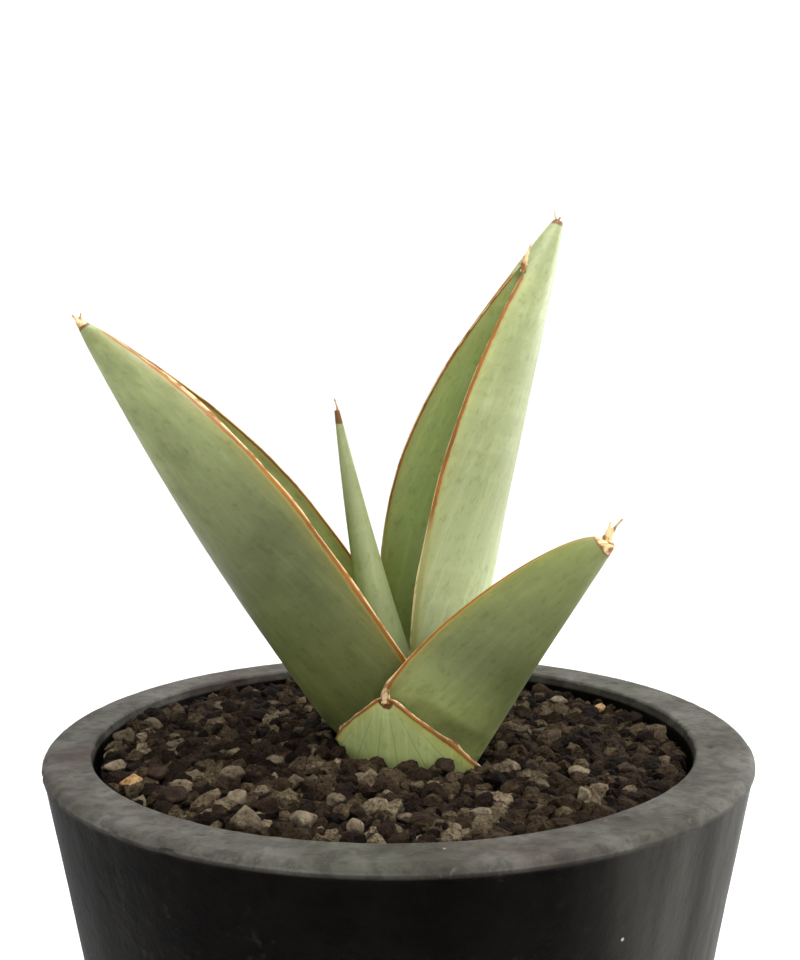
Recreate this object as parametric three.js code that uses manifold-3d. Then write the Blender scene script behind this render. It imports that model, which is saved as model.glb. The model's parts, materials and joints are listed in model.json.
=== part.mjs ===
// Young snake plant (Sansevieria) in a thick-rimmed, tapered pot.
// Millimetres, +Z up, origin at the centre of the pot's underside.
// Five boat-shaped leaves clasp one another around a short rhizome, which stands in gritty potting mix.

import * as THREE from "three";
import { mergeVertices } from "three/addons/utils/BufferGeometryUtils.js";
import Module from "manifold-3d";

const wasm = await Module();
wasm.setup();

// ---------------------------------------------------------------- driving dimensions

const gap = 0.3;                  // clearance between pieces that touch

const potHeight = 115;
const rimRadius = 65;             // outside of the rim
const rimWidth = 9.6;             // flat top of the rim, outside to inside
const potTaper = 0.177;           // radius lost per millimetre of depth
const lipRadius = 1.8;            // rounding of the rim's outer edge
const innerLipRadius = 0.7;
const footBevel = 1.5;
const floorThickness = 9;
const cavityShift = -0.9;         // the cast cavity sits slightly off the middle, towards -X
const drainRadius = 6;
const potSegments = 64;

const soilDrop = 2.6;             // mean soil level below the rim
const soilFallX = 0.012;          // soil falls away towards +X ...
const soilFallY = 0.012;          // ... and towards +Y
const crownMound = 1.2;           // extra height of the soil around the leaves
const moundRadius = 22;
const soilRings = 6;
const soilSectors = 48;

const crownX = 2;                 // middle of the leaf bases
const crownY = 2;

const rhizomeRadius = 10;
const rhizomeTopDepth = 2;        // below the mean soil level
const rhizomeLength = 24;
const rootRadius = 1.5;
const rootReach = 22;
const rootDrop = 26;
const rootCount = 5;

const leafEdge = 0.6;             // thickness of the horny margin
const leafTipRadius = 0.6;
const leafStations = 16;
const leafSectionSteps = 8;       // half of a section's outline
const leafRimGap = 0.05;          // radians left open where the two margins meet
const leafSeamShare = 0.04;       // and the share of that gap left at each end when it is bridged
const channelFloorPower = 4;      // how late the channel's floor rises to its rim

// Each leaf follows its keel, the ridge along its back. Angles are in degrees.
// keelBase: the keel's foot, from the crown in X and Y, and below the mean soil level
// azimuth, turn: where the leaf leans to at its base, and how far that swings by the tip
// lean: from upright, at the base and at the tip. roll: about its own length, likewise
// halfWidth, fullness, taper: W(s) = halfWidth (1 + fullness s) (1 - s)^taper
// waist, waistEnd: the base is narrowed to this share, up to this share of the length
// depth: section half-depth over half-width, at the base and at the tip
// open: half the angle that the section's rim spans, at the base and where the channel ends
// close: how late the channel closes. channelEnd: where along the length it ends, 0 for no channel
// wall: thickness between the channel's floor and the keel
const leaves = [
  {
    name: "leaf_front", length: 15.3, keelBase: [-3.8, -14.9, 2.9],
    azimuth: -117.4, turn: 0, lean: [5.1, 3.1], roll: [0, 0],
    halfWidth: 21.4, fullness: 0, taper: 0, waist: 1, waistEnd: 0.3,
    depth: [1, 1], open: [47.7, 3], close: 1.31, channelEnd: 1, wall: 1.9, spine: 1.4,
    colour: 0xa3b279,
  },
  {
    name: "leaf_right", length: 55.3, keelBase: [8, -11.8, 7.2],
    azimuth: -18, turn: 5.8, lean: [30.2, 32.1], roll: [-6.3, -10.2],
    halfWidth: 8.9, fullness: -0.06, taper: 0.55, waist: 0.85, waistEnd: 0.25,
    depth: [1.78, 1.18], open: [93, 165], close: 0.91, channelEnd: 0.97, wall: 3.6, spine: 2.2,
    colour: 0x8ba168,
  },
  {
    name: "leaf_left", length: 105, keelBase: [-6.4, 2.7, 9.7],
    azimuth: 185, turn: 0, lean: [37, 26], roll: [-3, -8],
    halfWidth: 10.7, fullness: 1.16, taper: 0.87, waist: 0.6, waistEnd: 0.2,
    depth: [1.94, 1.06], open: [87, 165], close: 1.75, channelEnd: 0.96, wall: 4.2, spine: 2.4,
    colour: 0x889d68,
  },
  {
    name: "leaf_back", length: 110.3, keelBase: [12.1, 9.6, 7.4],
    azimuth: 27, turn: 5, lean: [4.8, 18], roll: [-23.5, 20.7],
    halfWidth: 9.6, fullness: 1.56, taper: 0.94, waist: 0.6, waistEnd: 0.2,
    depth: [1.66, 1.04], open: [73.5, 165], close: 1.18, channelEnd: 0.92, wall: 4.2, spine: 2.4,
    colour: 0x92a777,
  },
  {
    name: "leaf_spike", length: 67.3, keelBase: [-5, 3, 2.4],
    azimuth: 181, turn: 0, lean: [10.6, 4.8], roll: [0, 0],
    halfWidth: 5.1, fullness: 0, taper: 0.97, waist: 0.8, waistEnd: 0.2,
    depth: [1, 1], open: [165, 165], close: 1, channelEnd: 0, wall: 6.5, spine: 1.8,
    colour: 0x9db285,
  },
];

// Larger stones on the soil: [share of the way to the pot wall, bearing in degrees,
// length, breadth, height, turn in degrees, kind of stone]
const stones = [
  [0.96, -117, 5.2, 4.0, 5.0, 20, "tan"],
  [0.81, -127, 4.3, 3.6, 3.4, 65, "tan"],
  [0.98, -150, 4.7, 3.4, 3.0, -35, "ochre"],
  [0.99, -161, 4.7, 3.5, 2.9, 10, "tan"],
  [0.99, 179, 6.1, 4.6, 4.4, 80, "grey"],
  [0.87, -153, 4.4, 3.2, 2.8, 15, "dark"],
  [0.69, -141, 5.8, 4.8, 4.2, 40, "grey"],
  [0.97, -136, 6.0, 4.2, 4.4, -20, "dark"],
  [0.93, 167, 4.3, 3.4, 2.8, 30, "grey"],
  [0.79, -174, 3.9, 3.0, 2.4, 5, "grey"],
  [0.84, 145, 4.6, 3.2, 2.6, 70, "grey"],
  [0.91, -107, 5.0, 4.4, 4.4, 50, "tan"],
  [0.91, -97, 3.0, 3.0, 4.0, 0, "tan"],
  [0.79, -87, 3.8, 2.8, 1.9, 12, "grey"],
  [0.93, -79, 2.6, 3.0, 3.2, 35, "tan"],
  [0.80, -71, 4.7, 3.4, 2.6, -10, "tan"],
  [0.86, -47, 3.0, 3.2, 3.8, 25, "tan"],
  [0.71, -29, 4.6, 3.6, 2.8, -28, "tan"],
  [0.85, -23, 4.0, 3.4, 2.8, 60, "dark"],
  [0.90, 42, 4.1, 3.2, 2.8, 15, "tan"],
  [0.94, 31, 2.8, 2.6, 2.8, 75, "ochre"],
  [0.68, -46, 3.2, 2.8, 2.3, 45, "grey"],
  [0.57, -123, 3.8, 3.2, 2.8, 85, "grey"],
  [0.68, -105, 4.0, 3.4, 2.8, 10, "grey"],
];
const clodOffset = [6, -19.5];    // dark clod in front of the front leaf, from the crown
const clodSize = [4.2, 3.4, 3.0];
const stoneSunk = 0.3;            // share of a stone's height below the soil's surface
const stoneMeanShare = 0.9;       // a stone's mean radius over that of its box
const stoneUnevenness = 0.16;     // how far its corners stand in or out
const stoneColours = { tan: 0x7d6f5c, grey: 0x6d6154, dark: 0x4a3e38, ochre: 0xa9733f };

// ---------------------------------------------------------------- shared shape helpers

const radians = THREE.MathUtils.degToRad;
const lerp = THREE.MathUtils.lerp;
const smoothstep = THREE.MathUtils.smoothstep;

function solidFrom(geometry) {
  const plain = geometry.clone();
  plain.deleteAttribute("normal");
  plain.deleteAttribute("uv");
  const merged = mergeVertices(plain, 1e-4);
  return new wasm.Manifold(new wasm.Mesh({
    numProp: 3,
    vertProperties: new Float32Array(merged.attributes.position.array),
    triVerts: new Uint32Array(merged.index.array),
  }));
}

function geometryFrom(solid) {
  const mesh = solid.getMesh();
  const geometry = new THREE.BufferGeometry();
  geometry.setAttribute("position", new THREE.BufferAttribute(mesh.vertProperties, 3));
  geometry.setIndex(new THREE.BufferAttribute(mesh.triVerts, 1));
  geometry.computeVertexNormals();
  return geometry;
}

function revolve(profile) {
  const points = profile.map(([radius, height]) => new THREE.Vector2(radius, height));
  return solidFrom(new THREE.LatheGeometry(points, potSegments).rotateX(Math.PI / 2));
}

// A quarter-round between two straight runs of a profile, both ends included.
function roundedCorner(centreRadius, centreHeight, radius, fromDegrees, toDegrees, steps = 4) {
  return Array.from({ length: steps + 1 }, (_, i) => {
    const angle = radians(lerp(fromDegrees, toDegrees, i / steps));
    return [centreRadius + radius * Math.cos(angle), centreHeight + radius * Math.sin(angle)];
  });
}

function solidFromArrays(positions, triangles) {
  return new wasm.Manifold(new wasm.Mesh({
    numProp: 3,
    vertProperties: new Float32Array(positions),
    triVerts: new Uint32Array(triangles),
  }));
}

// What is left of a solid around its neighbours: its main body, without crumbs from the cut.
function fitAround(solid, cutters) {
  const bodies = cutters.reduce((rest, cutter) => rest.subtract(cutter), solid).decompose();
  return bodies.reduce((main, body) => (body.volume() > main.volume() ? body : main));
}

// ---------------------------------------------------------------- pot

const cavityRimRadius = rimRadius - rimWidth;
const potRadiusAt = (z) => rimRadius - potTaper * (potHeight - z);
const cavityRadiusAt = (z) => cavityRimRadius - potTaper * (potHeight - z);

function makePot() {
  const blank = revolve([
    [0, 0],
    [potRadiusAt(0) - footBevel, 0],
    [potRadiusAt(footBevel), footBevel],
    ...roundedCorner(rimRadius - lipRadius, potHeight - lipRadius, lipRadius, 0, 90),
    [0, potHeight],
  ]);
  const cavity = revolve([
    [0, floorThickness],
    [cavityRadiusAt(floorThickness), floorThickness],
    [cavityRadiusAt(potHeight - innerLipRadius), potHeight - innerLipRadius],
    [cavityRadiusAt(potHeight) + innerLipRadius, potHeight],
    [cavityRadiusAt(potHeight) + innerLipRadius, potHeight + 1],
    [0, potHeight + 1],
  ]).translate([cavityShift, 0, 0]);
  const drain = revolve([
    [0, -1],
    [drainRadius, -1],
    [drainRadius, floorThickness + 1],
    [0, floorThickness + 1],
  ]);
  return blank.subtract(cavity).subtract(drain);
}

// ---------------------------------------------------------------- soil surface

const soilLevel = potHeight - soilDrop;

function soilHeightAt(x, y) {
  const fromCrown = Math.hypot(x - crownX, y - crownY) / moundRadius;
  return soilLevel - soilFallX * x - soilFallY * y + crownMound * Math.exp(-fromCrown * fromCrown);
}

// A closed plug: uneven top, tapered side that follows the pot's cavity, flat underside.
function makeSoilPlug() {
  const floor = floorThickness + gap;
  const positions = [];
  const triangles = [];
  const at = (ring, sector) => 1 + ring * soilSectors + (sector % soilSectors);
  const topRadius = cavityRadiusAt(soilLevel - soilDrop) - gap;
  positions.push(cavityShift, 0, soilHeightAt(cavityShift, 0));
  for (let ring = 1; ring <= soilRings; ring++) {
    for (let sector = 0; sector < soilSectors; sector++) {
      const angle = (2 * Math.PI * sector) / soilSectors;
      const x = cavityShift + (topRadius * ring / soilRings) * Math.cos(angle);
      const y = (topRadius * ring / soilRings) * Math.sin(angle);
      positions.push(x, y, soilHeightAt(x, y));
    }
  }
  for (let sector = 0; sector < soilSectors; sector++) {
    const angle = (2 * Math.PI * sector) / soilSectors;
    const radius = cavityRadiusAt(floor) - gap;
    positions.push(cavityShift + radius * Math.cos(angle), radius * Math.sin(angle), floor);
  }
  positions.push(cavityShift, 0, floor);
  const bottomCentre = positions.length / 3 - 1;
  for (let sector = 0; sector < soilSectors; sector++) {
    triangles.push(0, at(0, sector), at(0, sector + 1));
    for (let ring = 0; ring < soilRings; ring++) {
      triangles.push(at(ring, sector), at(ring + 1, sector), at(ring + 1, sector + 1));
      triangles.push(at(ring, sector), at(ring + 1, sector + 1), at(ring, sector + 1));
    }
    triangles.push(at(soilRings, sector), bottomCentre, at(soilRings, sector + 1));
  }
  return solidFromArrays(positions, triangles);
}

// ---------------------------------------------------------------- leaves

function leafFrame(leaf, s) {
  const lean = radians(lerp(leaf.lean[0], leaf.lean[1], s));
  const azimuth = radians(leaf.azimuth + leaf.turn * s);
  const roll = radians(lerp(leaf.roll[0], leaf.roll[1], s));
  const outward = new THREE.Vector3(Math.cos(azimuth), Math.sin(azimuth), 0);
  const along = outward.clone().multiplyScalar(Math.sin(lean)).setZ(Math.cos(lean));
  const inward = outward.clone().multiplyScalar(-Math.cos(lean)).setZ(Math.sin(lean));
  inward.applyAxisAngle(along, roll);
  return { along, inward, across: along.clone().cross(inward) };
}

function leafKeel(leaf, steps) {
  const point = new THREE.Vector3(
    crownX + leaf.keelBase[0],
    crownY + leaf.keelBase[1],
    soilLevel - leaf.keelBase[2],
  );
  const points = [point.clone()];
  for (let i = 0; i < steps; i++) {
    point.addScaledVector(leafFrame(leaf, (i + 0.5) / steps).along, leaf.length / steps);
    points.push(point.clone());
  }
  return points;
}

// The leaf as a closed loft, swollen by grow on every side when it is used as a cutter.
function makeLeaf(leaf, grow = 0) {
  const steps = leafStations;
  const keel = leafKeel(leaf, steps);
  const half = leafSectionSteps;
  const ringSize = 2 * half + 2;
  const positions = [];
  const triangles = [];
  for (let i = 0; i <= steps; i++) {
    const s = i / steps;
    const { along, inward, across } = leafFrame(leaf, s);
    const waist = lerp(leaf.waist, 1, smoothstep(s, 0, leaf.waistEnd));
    const width = leafTipRadius + waist * leaf.halfWidth * (1 + leaf.fullness * s)
      * Math.pow(1 - s, leaf.taper);
    const depth = width * lerp(leaf.depth[0], leaf.depth[1], s);
    const closing = leaf.channelEnd > 0 ? Math.min(s / leaf.channelEnd, 1) : 1;
    const open = radians(lerp(leaf.open[0], leaf.open[1], Math.pow(closing, leaf.close)));
    const centre = keel[i].clone().addScaledVector(inward, depth);
    const push = i === 0 ? -grow : i === steps ? grow : 0;
    centre.addScaledVector(along, push);
    const rimAngle = Math.min(open + grow / width, Math.PI - leafRimGap);
    const outer = (angle) => [
      (width + grow) * Math.sin(angle),
      -(depth + grow) * Math.cos(angle),
    ];
    const [rimX, rimY] = outer(rimAngle);
    const body = rimY + depth;
    const wall = body * leaf.wall / (body + leaf.wall);
    const floor = lerp(wall - depth, rimY, Math.pow(closing, channelFloorPower));
    const closed = s > leaf.channelEnd || leaf.channelEnd === 0;
    const put = ([x, y]) => {
      const p = centre.clone().addScaledVector(across, x).addScaledVector(inward, y);
      positions.push(p.x, p.y, p.z);
    };
    for (let j = 0; j <= half; j++) {
      put(outer(lerp(rimAngle, -rimAngle, j / half)));
    }
    for (let j = 0; j <= half; j++) {
      const share = j / half;
      if (closed) {
        const bridged = lerp(leafSeamShare, 1 - leafSeamShare, share);
        put(outer(lerp(-rimAngle, rimAngle - 2 * Math.PI, bridged)));
      } else {
        const u = Math.sin(Math.PI * (share - 0.5));
        put([u * rimX, lerp(floor, rimY, u * u) + leafEdge + 2 * grow]);
      }
    }
  }
  const tip = keel[steps].clone().addScaledVector(leafFrame(leaf, 1).along, leaf.spine + grow);
  tip.addScaledVector(leafFrame(leaf, 1).inward, leafTipRadius);
  positions.push(tip.x, tip.y, tip.z);
  const apex = positions.length / 3 - 1;
  const at = (ring, j) => ring * ringSize + (j % ringSize);
  for (let ring = 0; ring < steps; ring++) {
    for (let j = 0; j < ringSize; j++) {
      triangles.push(at(ring, j), at(ring, j + 1), at(ring + 1, j + 1));
      triangles.push(at(ring, j), at(ring + 1, j + 1), at(ring + 1, j));
    }
  }
  for (let j = 0; j < ringSize; j++) {
    triangles.push(at(steps, j), at(steps, j + 1), apex);
  }
  for (let j = 0; j < half; j++) {
    const inner = ringSize - 1 - j;
    triangles.push(at(0, j + 1), at(0, j), at(0, inner));
    triangles.push(at(0, j + 1), at(0, inner), at(0, inner - 1));
  }
  return solidFromArrays(positions, triangles);
}

// ---------------------------------------------------------------- rhizome and roots

function makeRhizome(grow = 0) {
  const steps = 8;
  const profile = Array.from({ length: steps + 1 }, (_, i) => {
    const angle = radians(lerp(-90, 90, i / steps));
    return new THREE.Vector2(
      (rhizomeRadius + grow) * Math.cos(angle),
      (rhizomeLength / 2 + grow) * Math.sin(angle),
    );
  });
  profile[0].x = 0;
  profile[steps].x = 0;
  const middle = soilLevel - rhizomeTopDepth - rhizomeLength / 2;
  let solid = solidFrom(new THREE.LatheGeometry(profile, 20).rotateX(Math.PI / 2)
    .translate(crownX, crownY, middle));
  for (let i = 0; i < rootCount; i++) {
    const angle = 2 * Math.PI * (i + 0.2) / rootCount;
    const heading = new THREE.Vector3(Math.cos(angle), Math.sin(angle), 0);
    const start = new THREE.Vector3(crownX, crownY, middle);
    const path = new THREE.QuadraticBezierCurve3(
      start,
      start.clone().addScaledVector(heading, rootReach),
      start.clone().addScaledVector(heading, rootReach).setZ(middle - rootDrop - grow),
    );
    const section = new THREE.Shape().absarc(0, 0, rootRadius + grow, 0, 2 * Math.PI);
    solid = solid.add(solidFrom(new THREE.ExtrudeGeometry(section, {
      steps: 8,
      curveSegments: 3,
      extrudePath: path,
    })));
  }
  return solid;
}

// ---------------------------------------------------------------- stones

// Repeatable noise, from -1 to 1, for corner number i of stone number n. The steps and the gain only
// need to be uneven, so that no two corners come out alike.
const noiseStoneStep = 6736.3;
const noiseCornerStep = 927.83;
const noiseGain = 43758.5453;

function cornerNoise(n, i) {
  const value = Math.sin(noiseStoneStep * n + noiseCornerStep * i) * noiseGain;
  return 2 * (value - Math.floor(value)) - 1;
}

function makeStone({ x, y, size: [length, breadth, height], turn }, number, grow = 0) {
  const ball = new THREE.IcosahedronGeometry(1, 1);
  ball.deleteAttribute("normal");
  ball.deleteAttribute("uv");
  const stone = mergeVertices(ball, 1e-4);
  const points = stone.attributes.position;
  const placed = (unit, radius) => unit * radius + Math.sign(unit) * grow;
  for (let i = 0; i < points.count; i++) {
    const swell = stoneMeanShare * (1 + stoneUnevenness * cornerNoise(number, i)) / 2;
    points.setXYZ(
      i,
      placed(points.getX(i), length * swell),
      placed(points.getY(i), breadth * swell),
      placed(points.getZ(i), height * swell),
    );
  }
  stone.rotateZ(radians(turn));
  stone.translate(x, y, soilHeightAt(x, y) + height * (0.5 - stoneSunk));
  return solidFrom(stone);
}

function stonePlaces() {
  const places = stones.map(([share, bearing, length, breadth, height, turn, kind]) => {
    const reach = share * (cavityRadiusAt(soilLevel) - gap - Math.max(length, breadth) / 2);
    return {
      x: cavityShift + reach * Math.cos(radians(bearing)),
      y: reach * Math.sin(radians(bearing)),
      size: [length, breadth, height],
      turn,
      kind,
    };
  });
  places.push({
    x: crownX + clodOffset[0],
    y: crownY + clodOffset[1],
    size: clodSize,
    turn: 0,
    kind: "dark",
  });
  return places;
}

// ---------------------------------------------------------------- assembly

const plant = new THREE.Group();

function addPiece(name, solid, colour, roughness) {
  const material = new THREE.MeshStandardMaterial({ color: colour, roughness, metalness: 0 });
  const mesh = new THREE.Mesh(geometryFrom(solid), material);
  mesh.name = name;
  plant.add(mesh);
}

addPiece("pot", makePot(), 0x3a3a3b, 0.75);

// Each leaf clasps the ones after it in the list, so those are cut to fit inside it.
const leafCutters = leaves.map((leaf) => makeLeaf(leaf, gap));
leaves.forEach((leaf, i) => {
  addPiece(leaf.name, fitAround(makeLeaf(leaf), leafCutters.slice(0, i)), leaf.colour, 0.5);
});

addPiece("rhizome", fitAround(makeRhizome(), leafCutters), 0xb9a27c, 0.8);

const stoneCutters = [];
stonePlaces().forEach((place, i) => {
  const name = `stone_${String(i + 1).padStart(2, "0")}`;
  const stone = fitAround(makeStone(place, i), [...leafCutters, ...stoneCutters]);
  addPiece(name, stone, stoneColours[place.kind], 0.95);
  stoneCutters.push(makeStone(place, i, gap));
});

const soilCutters = [...leafCutters, makeRhizome(gap), ...stoneCutters];
addPiece("potting_mix", fitAround(makeSoilPlug(), soilCutters), 0x3d322b, 1);

export default plant;
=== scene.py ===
# A young boat-leaved snake plant in gritty mix, in a cast charcoal pot with a thick rim.
# Everything is in metres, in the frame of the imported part: +Z up, origin under the middle of the pot.

import json
import math
import random

import bmesh
import bpy
import numpy as np
from mathutils import Matrix, Vector, noise


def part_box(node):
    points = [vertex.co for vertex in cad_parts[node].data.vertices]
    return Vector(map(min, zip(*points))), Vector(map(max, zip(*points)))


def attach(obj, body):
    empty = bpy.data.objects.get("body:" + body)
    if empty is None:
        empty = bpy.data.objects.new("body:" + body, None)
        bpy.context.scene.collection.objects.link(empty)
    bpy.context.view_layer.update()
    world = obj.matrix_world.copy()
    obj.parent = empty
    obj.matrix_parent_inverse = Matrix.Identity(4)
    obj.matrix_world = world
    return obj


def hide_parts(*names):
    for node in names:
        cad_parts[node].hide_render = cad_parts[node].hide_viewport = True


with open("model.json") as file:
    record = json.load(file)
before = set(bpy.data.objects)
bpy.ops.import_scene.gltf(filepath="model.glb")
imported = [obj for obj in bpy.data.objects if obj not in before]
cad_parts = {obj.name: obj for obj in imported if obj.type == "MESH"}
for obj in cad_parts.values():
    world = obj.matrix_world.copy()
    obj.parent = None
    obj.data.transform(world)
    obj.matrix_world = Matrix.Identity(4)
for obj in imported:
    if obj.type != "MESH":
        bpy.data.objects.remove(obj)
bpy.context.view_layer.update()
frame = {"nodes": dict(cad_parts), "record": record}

scene = bpy.context.scene

# ---------------------------------------------------------------- camera, light and floor
# The pot stands on a seamless white studio floor that rises into a lit wall all round. The camera
# stands close, just above the rim. A large soft light hangs overhead, another stands at the right,
# and a weak one fills the front.

eye = Vector((0.0, -0.2360, 0.1839))
look_right = math.radians(0.115)
look_down = math.radians(5.13)
camera_roll = math.radians(-0.26)
lens = 47.9                      # lens and sensor in millimetres
sensor_width = 36.0

camera_data = bpy.data.cameras.new("camera")
camera_data.sensor_width = sensor_width
camera_data.lens = lens
camera_data.clip_start = 0.01
camera = bpy.data.objects.new("camera", camera_data)
scene.collection.objects.link(camera)
gaze = Vector((
    math.sin(look_right) * math.cos(look_down),
    math.cos(look_right) * math.cos(look_down),
    -math.sin(look_down),
))
aim = gaze.to_track_quat("-Z", "Y").to_matrix().to_4x4()
camera.matrix_world = Matrix.Translation(eye) @ aim @ Matrix.Rotation(camera_roll, 4, "Z")
scene.camera = camera
scene.view_settings.view_transform = "Standard"


def node(tree, kind, inputs=None, **settings):
    """A new node with its settings, and its inputs set to values or joined to sockets."""
    made = tree.nodes.new(kind)
    for key, value in settings.items():
        setattr(made, key, value)
    for key, value in (inputs or {}).items():
        socket = made.inputs[key]
        if isinstance(value, bpy.types.NodeSocket):
            tree.links.new(value, socket)
        elif socket.type == "RGBA" and len(value) == 3:
            socket.default_value = (*value, 1.0)
        else:
            socket.default_value = value
    return made


def new_finish(name, roughness=0.5, shine=0.5):
    """A material, its node tree and its surface shader."""
    finish = bpy.data.materials.new(name)
    finish.use_nodes = True
    surface = finish.node_tree.nodes["Principled BSDF"]
    surface.inputs["Roughness"].default_value = roughness
    surface.inputs["Specular IOR Level"].default_value = shine
    return finish, finish.node_tree, surface


def blended(tree, share, first, second, mode="MIX"):
    mix = node(tree, "ShaderNodeMix", {0: share, 6: first, 7: second},
               data_type="RGBA", blend_type=mode)
    return mix.outputs[2]


def ranged(tree, value, low, high, to_low=0.0, to_high=1.0):
    """Value eased from one range to another, and held at its ends."""
    eased = node(tree, "ShaderNodeMapRange", {
        "Value": value, "From Min": low, "From Max": high, "To Min": to_low, "To Max": to_high,
    }, interpolation_type="SMOOTHSTEP")
    return eased.outputs["Result"]


def times(tree, colour, factor):
    """The colour with each channel multiplied by its factor."""
    return blended(tree, 1.0, colour, factor, "MULTIPLY")


def maths(tree, operation, first, second=0.0):
    return node(tree, "ShaderNodeMath", {0: first, 1: second}, operation=operation).outputs[0]


def parts_of(tree, vector):
    """The X, Y and Z of a vector, by name."""
    return node(tree, "ShaderNodeSeparateXYZ", {0: vector}).outputs


def grain(tree, where, scale, detail=4.0, roughness=0.55, stretch=(1.0, 1.0, 1.0), seed=0.0):
    """Noise from 0 to 1, its features about 1 / scale metres wide, drawn out by stretch."""
    placed = node(tree, "ShaderNodeMapping", {
        "Vector": where, "Location": (seed, seed, seed), "Scale": stretch,
    })
    drawn = node(tree, "ShaderNodeTexNoise", {
        "Vector": placed.outputs[0], "Scale": scale, "Detail": detail, "Roughness": roughness,
    })
    return drawn.outputs["Fac"]


def relief(tree, height, distance, strength=1.0, under=None):
    bump = node(tree, "ShaderNodeBump", {"Height": height, "Distance": distance,
                                         "Strength": strength})
    if under is not None:
        tree.links.new(under, bump.inputs["Normal"])
    return bump.outputs[0]


def dress(tree, surface, colour, normal):
    tree.links.new(colour, surface.inputs["Base Color"])
    tree.links.new(normal, surface.inputs["Normal"])


def own_place(tree):
    return node(tree, "ShaderNodeTexCoord").outputs["Object"]


def mesh_piece(name, points, faces, finish):
    """A mesh object at the origin, with its place in its mesh."""
    mesh = bpy.data.meshes.new(name)
    mesh.from_pydata([tuple(p) for p in points], [], faces)
    mesh.materials.append(finish)
    mesh.update()
    mesh.shade_smooth()
    piece = bpy.data.objects.new(name, mesh)
    scene.collection.objects.link(piece)
    return piece


def around(count):
    """Bearings of the points of a ring."""
    return [2 * math.pi * i / count for i in range(count)]


def loft(rings):
    """Quads between rings of equal length that each close on themselves."""
    size = len(rings[0])
    points = [p for ring in rings for p in ring]
    faces = []
    for i in range(len(rings) - 1):
        for j in range(size):
            k = (j + 1) % size
            faces.append((i * size + j, i * size + k, (i + 1) * size + k, (i + 1) * size + j))
    return points, faces


floor_radius = 0.9
wall_radius = 1.5
wall_height = 1.4
bend_height = wall_radius - floor_radius
bend_steps = 12
studio_sectors = 96
floor_glow = 0.03
wall_glow = 0.22

floor_finish, tree, surface = new_finish("studio_white", 0.85)
mottle = grain(tree, own_place(tree), 3.0, 2.0)
tree.links.new(blended(tree, mottle, (0.90, 0.90, 0.89), (0.93, 0.93, 0.925)),
               surface.inputs["Base Color"])
surface.inputs["Emission Color"].default_value = (1.0, 1.0, 1.0, 1.0)
height = parts_of(tree, own_place(tree))["Z"]
tree.links.new(ranged(tree, height, 0.0, 0.25, floor_glow, wall_glow),
               surface.inputs["Emission Strength"])
floor_profile = [(0.001, 0.0), (0.3, 0.0), (floor_radius, 0.0)]
for step in range(1, bend_steps + 1):
    turn = math.radians(90 * step / bend_steps)
    floor_profile.append((floor_radius + bend_height * math.sin(turn),
                          bend_height * (1 - math.cos(turn))))
floor_profile.append((wall_radius, wall_height))
rings = [[(radius * math.cos(a), radius * math.sin(a), height) for a in around(studio_sectors)]
         for radius, height in floor_profile]
studio = mesh_piece("studio_floor", *loft(rings), floor_finish)


def soft_light(name, place, target, size, power):
    lamp = bpy.data.lights.new(name, "AREA")
    lamp.shape = "SQUARE"
    lamp.size = size
    lamp.energy = power
    holder = bpy.data.objects.new(name, lamp)
    scene.collection.objects.link(holder)
    direction = Vector(target) - Vector(place)
    holder.rotation_mode = "QUATERNION"
    holder.rotation_quaternion = direction.to_track_quat("-Z", "Y")
    holder.location = place


soft_light("overhead_softbox", (0.20, 0.02, 0.95), (0.0, 0.0, 0.12), 0.6, 12.5)
soft_light("right_softbox", (0.80, 0.50, 0.34), (0.0, 0.0, 0.08), 0.6, 7.0)
soft_light("front_fill", (0.15, -0.75, 0.85), (0.0, 0.0, 0.12), 0.5, 1.8)

world = bpy.data.worlds.new("studio_air")
world.use_nodes = True
air = world.node_tree.nodes["Background"].inputs
air["Color"].default_value = (1.0, 1.0, 1.0, 1.0)
air["Strength"].default_value = 0.15
scene.world = world

# ---------------------------------------------------------------- pot
# Cast in one piece from a charcoal-coloured cement and resin mix: a thick flat rim with a rounded
# lip, a straight tapered wall, a floor with one drainage hole. The top, where it faces up, is
# painted paler as painted light from above, and the wall's right side carries a painted sheen
# with dusty streaks.

pot_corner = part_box("pot")[1]
rim_radius = pot_corner.x
pot_height = pot_corner.z
rim_width = 0.0096
pot_taper = 0.177                # radius lost per metre of depth
band_inset, band_start = 0.0010, 0.0060    # where the wall turns up into the rim's edge
lip_inset, lip_start = 0.0003, 0.0022      # where that edge begins to round over
lip_radius = 0.0018
inner_lip_radius = 0.0007
foot_bevel = 0.0015
pot_floor = 0.009
cavity_shift = -0.0009           # the cast hollow sits slightly off the middle
drain_radius = 0.006
pot_sectors = 512

# Casting pits: bearing in degrees, distance from the axis, width and depth
pits = [
    (-141, 0.0640, 0.0016, 0.0007), (-10, 0.0572, 0.0013, 0.0005), (-119, 0.0600, 0.0009, 0.0003),
    (-46, 0.0655, 0.0022, 0.0004), (-17, 0.0632, 0.0018, 0.0003), (160, 0.0610, 0.0011, 0.0004),
    (38, 0.0600, 0.0010, 0.0004), (-72, 0.0622, 0.0008, 0.0003), (98, 0.0625, 0.0012, 0.0004),
]
blister = (-53, 0.0578, 0.0007, 0.0004)    # one small blister on the rim's top


def dimple(p, bearing, reach, width, depth, sharpness=2.2):
    """How deep a round pit, or how high a blister, is at a point of the rim's top."""
    turn = math.radians(bearing)
    centre = Vector((reach * math.cos(turn), reach * math.sin(turn)))
    return depth * math.exp(-(sharpness * ((p.xy - centre).length / width)) ** 2)


def wall_radius_at(height):
    return rim_radius - pot_taper * (pot_height - height)


def cavity_radius_at(height):
    return rim_radius - rim_width - pot_taper * (pot_height - height)


def arc_points(centre_radius, centre_height, radius, start, end, steps):
    turns = [math.radians(start + (end - start) * i / steps) for i in range(steps + 1)]
    return [(centre_radius + radius * math.cos(a), centre_height + radius * math.sin(a))
            for a in turns]


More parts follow.
